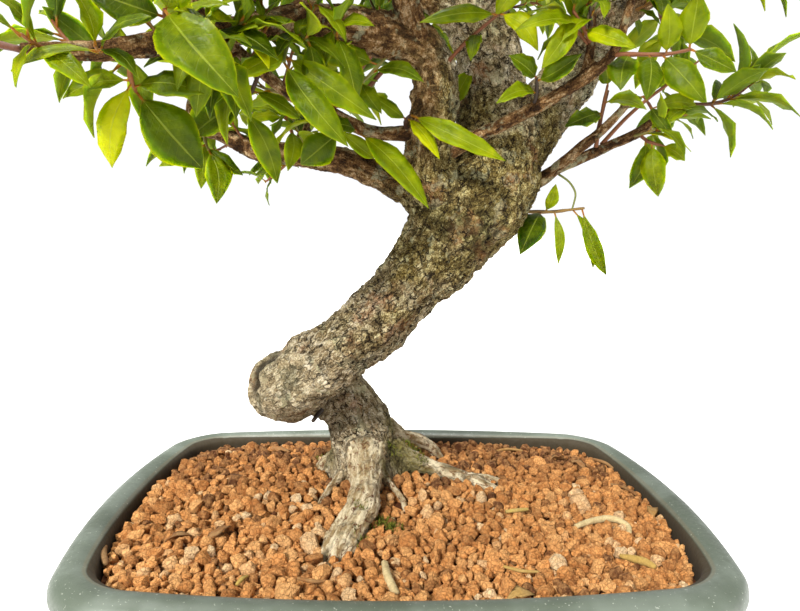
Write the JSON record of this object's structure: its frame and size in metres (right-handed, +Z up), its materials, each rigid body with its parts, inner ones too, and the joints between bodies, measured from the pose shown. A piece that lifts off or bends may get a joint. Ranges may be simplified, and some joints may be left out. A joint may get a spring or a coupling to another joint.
{
  "type": "pomegranate bonsai",
  "caption": "Pomegranate bonsai with a folded, leaning trunk, surface roots and a leafy rounded crown, planted in clay granules in a shallow glazed tray pot.",
  "frame": {"origin": "on the floor, below the middle of the whole plant's outline", "axes": "+Z up, +X to the right of the front view, +Y away from the front"},
  "size_m": [0.3844, 0.281, 0.4606],
  "materials": {
    "glazed_stoneware": "semi-gloss grey-green glaze",
    "baked_clay_granules": "matt baked clay",
    "bark": "rough bark",
    "leaf": "waxy leaf",
    "dry_wood": "dry and matt",
    "screen_plastic": "matt"
  },
  "bodies": {
    "root": {"drain_screen_left": "screen_plastic", "drain_screen_right": "screen_plastic", "fallen_twig": "dry_wood", "pot": "glazed_stoneware", "root_end": "dry_wood", "shoot_back_fan_1": "leaf", "shoot_back_left_1": "leaf", "shoot_back_limb_1": "leaf", "shoot_back_limb_2": "leaf", "shoot_behind_stem": "leaf", "shoot_bright_pair": "leaf", "shoot_c_twig": "leaf", "shoot_cross_sprig": "leaf", "shoot_curve": "leaf", "shoot_diagonal_1": "leaf", "shoot_diagonal_2": "leaf", "shoot_drop": "leaf", "shoot_front_left_1": "leaf", "shoot_front_left_2": "leaf", "shoot_front_right_1": "leaf", "shoot_front_right_2": "leaf", "shoot_left_drop_1": "leaf", "shoot_left_drop_2": "leaf", "shoot_left_drop_3": "leaf", "shoot_left_end": "leaf", "shoot_left_fan_1": "leaf", "shoot_left_riser_1": "leaf", "shoot_left_stem_1": "leaf", "shoot_left_stem_2": "leaf", "shoot_lit_leaf": "leaf", "shoot_low_end": "leaf", "shoot_low_right": "leaf", "shoot_low_sprig": "leaf", "shoot_low_tip": "leaf", "shoot_mid_drop": "leaf", "shoot_near_big": "leaf", "shoot_near_low": "leaf", "shoot_over_b": "leaf", "shoot_right_b_1": "leaf", "shoot_right_back_1": "leaf", "shoot_right_cluster": "leaf", "shoot_right_cross_1": "leaf", "shoot_right_limb_1": "leaf", "shoot_right_limb_2": "leaf", "shoot_right_side_1": "leaf", "shoot_right_side_2": "leaf", "shoot_round_leaf": "leaf", "shoot_top_back_1": "leaf", "shoot_top_front_1": "leaf", "shoot_top_left_1": "leaf", "shoot_top_left_mid": "leaf", "shoot_top_mid": "leaf", "shoot_top_right_1": "leaf", "shoot_top_right_2": "leaf", "shoot_under_b": "leaf", "shoot_upper_left_1": "leaf", "shoot_upper_left_2": "leaf", "shoot_upper_left_3": "leaf", "soil": "baked_clay_granules", "wood": "bark"}
  },
  "joints": []
}
